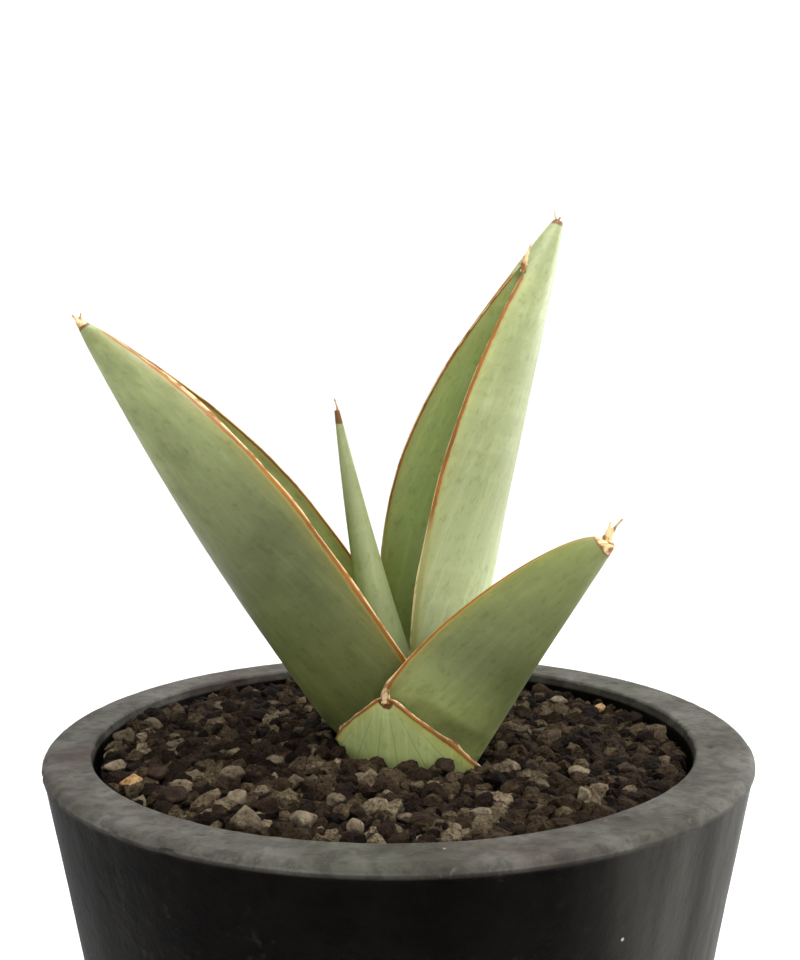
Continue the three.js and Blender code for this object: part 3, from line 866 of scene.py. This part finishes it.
top_radius = cavity_radius_at(soil_level - 0.004) - soil_gap
rings = soil_bed(top_radius, fines_drop, 0.0005)
side = []
for share in (0.0, 0.5, 1.0):
    height = (pot_floor + soil_gap) + (soil_level - 0.006 - pot_floor) * share
    radius = cavity_radius_at(height) - soil_gap
    side.append([Vector((cavity_shift + radius * math.cos(a), radius * math.sin(a), height))
                 for a in around(soil_sectors)])
middle = Vector((cavity_shift, 0, soil_height_at(cavity_shift, 0) - fines_drop))
points, faces = closed_over(side + rings, middle)
faces.append(tuple(reversed(range(soil_sectors))))
potting_mix = mesh_piece("potting_mix_bed", points, faces, soil_finish)
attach(potting_mix, "root")
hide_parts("potting_mix")

# ---------------------------------------------------------------- grit
# Crushed volcanic grit and bark, sieved to a few millimetres, spread over the mix as a top
# dressing. The grains are sharp-cornered and lie as they fell, and none lies inside a leaf.

grit_clearance = 0.0005          # between the outermost grains and the pot
grit_sizes = {
    # spacing, smallest and largest grain, how deep they sit, seed
    "grit_coarse": (0.0033, 0.0038, 0.0058, 0.0006, 11),
    "grit_medium": (0.0024, 0.0025, 0.0040, 0.0005, 23),
    "grit_fine": (0.0019, 0.0013, 0.0024, 0.0011, 37),
}


def cleavage(draw, count, nearest, furthest):
    """Random flats that cut a stone, as directions and distances from its middle."""
    return [(Vector([draw.gauss(0, 1) for _ in range(3)]).normalized(),
             draw.uniform(nearest, furthest)) for _ in range(count)]


def grain_shape(name, seed):
    """One broken, lumpy grain about a metre across, for scaling down."""
    flats = cleavage(random.Random(seed), 9, 0.62, 0.95)
    shape = bmesh.new()
    bmesh.ops.create_icosphere(shape, subdivisions=2, radius=1.0)
    for vertex in shape.verts:
        way = vertex.co.normalized()
        radius = min([1.15] + [reach / way.dot(flat) for flat, reach in flats
                               if way.dot(flat) > 0.3])
        radius *= 1 + 0.38 * noise.noise(way * 1.9 + Vector((seed * 1.3, 0, 0)))
        vertex.co = way * (radius * 0.5)
        vertex.co.y *= 0.85
        vertex.co.z *= 0.72
    mesh = bpy.data.meshes.new(name)
    shape.to_mesh(mesh)
    shape.free()
    return bpy.data.objects.new(name, mesh)


def under_a_stone(p, clearance):
    for low, high in stone_boxes:
        middle, reach = (low + high) / 2, (high - low) / 2
        across = (p.x - middle.x) / (reach.x + clearance)
        if across ** 2 + ((p.y - middle.y) / (reach.y + clearance)) ** 2 < 1:
            return True
    return False


def inside_a_leaf(p, clearance):
    for leaf in leaves.values():
        keel = crown + Vector(leaf["keel_base"])
        along = leaf_axes(leaf, 0.0)[0]
        run = min(max((p.z - keel.z) / along.z, 0.0), leaf["length"])
        s = run / leaf["length"]
        along, inward, across = leaf_axes(leaf, s)
        width, depth, opening, _ = leaf_section(leaf, s)
        middle = keel + along * run + inward * depth
        x, y = (p - middle).dot(across), (p - middle).dot(inward)
        round_off = (x / (width + clearance)) ** 2 + (y / (depth + clearance)) ** 2
        if round_off < 1 and y < -depth * math.cos(opening) + clearance:
            return True
    return False


def grit_finish():
    finish, tree, surface = new_finish("volcanic_grit", 0.92, 0.12)
    where = own_place(tree)
    tone = node(tree, "ShaderNodeAttribute", attribute_name="tone").outputs["Fac"]
    place = parts_of(tree, where)
    drift = maths(tree, "MULTIPLY", maths(tree, "ADD", place["X"], place["Y"]), -1.1)
    tone = maths(tree, "ADD", tone, drift)
    ramp = node(tree, "ShaderNodeValToRGB", {0: tone})
    stops = ramp.color_ramp.elements
    palette = [
        (0.00, (0.008, 0.004, 0.002)), (0.25, (0.019, 0.010, 0.005)),
        (0.45, (0.036, 0.021, 0.010)), (0.65, (0.058, 0.037, 0.019)),
        (0.82, (0.098, 0.069, 0.038)), (0.93, (0.16, 0.122, 0.072)), (1.0, (0.27, 0.215, 0.135)),
    ]
    while len(stops) < len(palette):
        stops.new(0.5)
    for stop, (at, shade) in zip(stops, palette):
        stop.position = at
        stop.color = (*shade, 1.0)
    pores = grain(tree, where, 1500.0, 5.0, 0.7)
    patches = grain(tree, where, 420.0, 4.0, 0.6, seed=5.0)
    colour = blended(tree, ranged(tree, patches, 0.3, 0.72, 0.0, 0.75), ramp.outputs[0],
                     times(tree, ramp.outputs[0], (0.42, 0.38, 0.35)))
    # Painted shade in the pores, the low spots of the relief below.
    colour = blended(tree, ranged(tree, pores, 0.50, 0.36, 0.0, 0.9), colour,
                     times(tree, colour, (0.16, 0.13, 0.12)))
    colour = blended(tree, ranged(tree, pores, 0.54, 0.68, 0.0, 0.7), colour,
                     times(tree, colour, (1.9, 1.8, 1.7)))
    normal = relief(tree, pores, 0.0013, 1.0)
    dress(tree, surface, colour, relief(tree, patches, 0.0022, 0.9, under=normal))
    return finish


def grit_tree(kinds, finish):
    """Geometry nodes: grains scattered over a bed, sized, turned, toned and made real."""
    group = bpy.data.node_groups.new("scatter_grit", "GeometryNodeTree")
    panel = group.interface
    panel.new_socket("Geometry", in_out="INPUT", socket_type="NodeSocketGeometry")
    for label in ("Spacing", "Smallest", "Largest", "Sunk"):
        panel.new_socket(label, in_out="INPUT", socket_type="NodeSocketFloat")
    panel.new_socket("Seed", in_out="INPUT", socket_type="NodeSocketInt")
    panel.new_socket("Geometry", in_out="OUTPUT", socket_type="NodeSocketGeometry")
    given = node(group, "NodeGroupInput").outputs
    room = node(group, "GeometryNodeInputNamedAttribute", {"Name": "room"}, data_type="FLOAT")
    spots = node(group, "GeometryNodeDistributePointsOnFaces", {
        "Mesh": given["Geometry"], "Distance Min": given["Spacing"], "Density Max": 4.0e6,
        "Density Factor": room.outputs["Attribute"], "Seed": given["Seed"],
    }, distribute_method="POISSON")
    drawers = node(group, "GeometryNodeGeometryToInstance")
    for kind in reversed(kinds):
        shape = node(group, "GeometryNodeObjectInfo", {"Object": kind, "As Instance": True})
        group.links.new(shape.outputs["Geometry"], drawers.inputs[0])

    def chance(low, high, offset, kind="FLOAT"):
        """A random value for each grain, from its own offset of the seed."""
        least, most, result = {"FLOAT": (2, 3, 1), "FLOAT_VECTOR": (0, 1, 0),
                               "INT": (4, 5, 2)}[kind]
        drawn = node(group, "FunctionNodeRandomValue", {
            least: low, most: high, "Seed": maths(group, "ADD", given["Seed"], offset),
        }, data_type=kind)
        return drawn.outputs[result]

    size = chance(given["Smallest"], given["Largest"], 1.0)
    turned = chance((0.0, 0.0, 0.0), (0.9, 0.9, math.tau), 2.0, "FLOAT_VECTOR")
    grown = node(group, "ShaderNodeCombineXYZ", {0: size, 1: size, 2: size})
    placed = node(group, "GeometryNodeInstanceOnPoints", {
        "Points": spots.outputs["Points"], "Instance": drawers.outputs[0],
        "Pick Instance": True, "Instance Index": chance(0, len(kinds) - 1, 3.0, "INT"),
        "Rotation": turned, "Scale": grown.outputs[0],
    })
    drop = node(group, "ShaderNodeCombineXYZ", {
        2: maths(group, "SUBTRACT", chance(-0.0009, 0.0007, 4.0), given["Sunk"])})
    settled = node(group, "GeometryNodeTranslateInstances", {
        "Instances": placed.outputs[0], "Translation": drop.outputs[0], "Local Space": False})
    toned = node(group, "GeometryNodeStoreNamedAttribute", {
        "Geometry": settled.outputs[0], "Name": "tone", "Value": chance(0.0, 1.0, 5.0)},
        data_type="FLOAT", domain="INSTANCE")
    real = node(group, "GeometryNodeRealizeInstances", {"Geometry": toned.outputs[0]})
    coated = node(group, "GeometryNodeSetMaterial", {"Geometry": real.outputs[0],
                                                     "Material": finish})
    node(group, "NodeGroupOutput", {0: coated.outputs[0]})
    return group


def plain_mesh(piece):
    """The piece with its modifiers' result as its own mesh."""
    bpy.context.view_layer.update()
    graph = bpy.context.evaluated_depsgraph_get()
    mesh = bpy.data.meshes.new_from_object(piece.evaluated_get(graph))
    piece.modifiers.clear()
    piece.data = mesh
    return piece


kinds = [grain_shape(f"grain_kind_{i}", 40 + i) for i in range(9)]
for kind in kinds:
    scene.collection.objects.link(kind)
stone_names = sorted(n for n in frame["nodes"] if n.startswith("stone_"))
stone_boxes = [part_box(name) for name in stone_names]
grit_coat = grit_finish()
scatter = grit_tree(kinds, grit_coat)
for name, (spacing, smallest, largest, sunk, seed) in grit_sizes.items():
    reach = cavity_radius_at(soil_level) - grit_clearance - largest / 2
    points, faces = closed_over(soil_bed(reach, 0.0, 0.0002),
                                Vector((cavity_shift, 0, soil_height_at(0, 0))))
    grit = mesh_piece(name, points, faces, grit_coat)
    room = grit.data.attributes.new("room", "FLOAT", "POINT")
    room.data.foreach_set("value", np.array([
        0.0 if inside_a_leaf(Vector(p), 0.35 * smallest) or under_a_stone(p, 0.1 * smallest)
        else 1.0 for p in points], np.float32))
    cover = grit.modifiers.new("scatter", "NODES")
    cover.node_group = scatter
    sockets = {item.name: item.identifier for item in scatter.interface.items_tree
               if item.in_out == "INPUT"}
    for label, value in (("Spacing", spacing), ("Smallest", smallest), ("Largest", largest),
                         ("Sunk", sunk), ("Seed", seed)):
        cover[sockets[label]] = value
    plain_mesh(grit)
    grit.data.shade_smooth()
    grit.data.set_sharp_from_angle(angle=math.radians(36))
    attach(grit, "root")
for kind in kinds:
    bpy.data.objects.remove(kind)

# ---------------------------------------------------------------- larger stones
# Two dozen grains that the sieve let through, each a broken piece of pumice, scoria or baked clay
# lying loose on top. They are cleaved on a few flat faces, worn at the corners and full of pores.

stone_tints = {
    "stone_tan": ((0.090, 0.068, 0.042), (0.22, 0.175, 0.115)),
    "stone_grey_brown": ((0.055, 0.040, 0.025), (0.14, 0.108, 0.070)),
    "stone_dark": ((0.016, 0.009, 0.006), (0.048, 0.030, 0.020)),
    "stone_ochre": ((0.22, 0.115, 0.042), (0.48, 0.31, 0.150)),
}


def stone_finish(slot):
    dark, light = stone_tints[slot]
    finish, tree, surface = new_finish(slot, 0.92, 0.12)
    where = own_place(tree)
    patches = grain(tree, where, 380.0, 5.0, 0.65)
    pores = grain(tree, where, 1600.0, 5.0, 0.7)
    colour = blended(tree, ranged(tree, patches, 0.3, 0.7), dark, light)
    # Painted shade in the pores, the low spots of the relief below.
    colour = blended(tree, ranged(tree, pores, 0.5, 0.32, 0.0, 0.85), colour,
                     tuple(0.25 * c for c in dark))
    dress(tree, surface, colour, relief(tree, pores, 0.0006, 0.8))
    return finish


stone_flats = 13
crispness = 14                   # the higher, the sharper the edges between the flats


def cleaved_stone(low, high, seed):
    """Points and faces of a stone that fills the box: a ball cut by random flats."""
    flats = cleavage(random.Random(seed), stone_flats, 0.72, 1.0)
    ball = bmesh.new()
    bmesh.ops.create_icosphere(ball, subdivisions=4, radius=1.0)
    shift = Vector((seed * 1.7, seed * 0.9, 0))
    shaped = []
    for vertex in ball.verts:
        way = vertex.co.normalized()
        press = sum(max(0.0, way.dot(flat) / reach) ** crispness for flat, reach in flats)
        radius = min(1.25, press ** (-1 / crispness)) if press > 0 else 1.25
        pit = noise.fractal(way * 2.6 + shift, 1.0, 2.1, 5)
        hole = max(0.0, noise.noise(way * 6.0 + shift) - 0.25)
        shaped.append(way * (radius * (1 + 0.07 * pit) - 0.22 * hole))
    lowest = Vector([min(p[k] for p in shaped) for k in range(3)])
    highest = Vector([max(p[k] for p in shaped) for k in range(3)])
    points = [Vector([low[k] + (p[k] - lowest[k]) / (highest[k] - lowest[k]) * (high[k] - low[k])
                      for k in range(3)]) for p in shaped]
    faces = [tuple(v.index for v in face.verts) for face in ball.faces]
    ball.free()
    return points, faces


stone_coats = {slot: stone_finish(slot) for slot in stone_tints}
slot_of = {row["node"]: row["material_slot"] for row in frame["record"]["subparts"]}
for number, name in enumerate(stone_names):
    low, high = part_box(name)
    stone = mesh_piece(name + "_grain", *cleaved_stone(low, high, 300 + number),
                       stone_coats[slot_of[name]])
    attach(stone, "root")
    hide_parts(name)
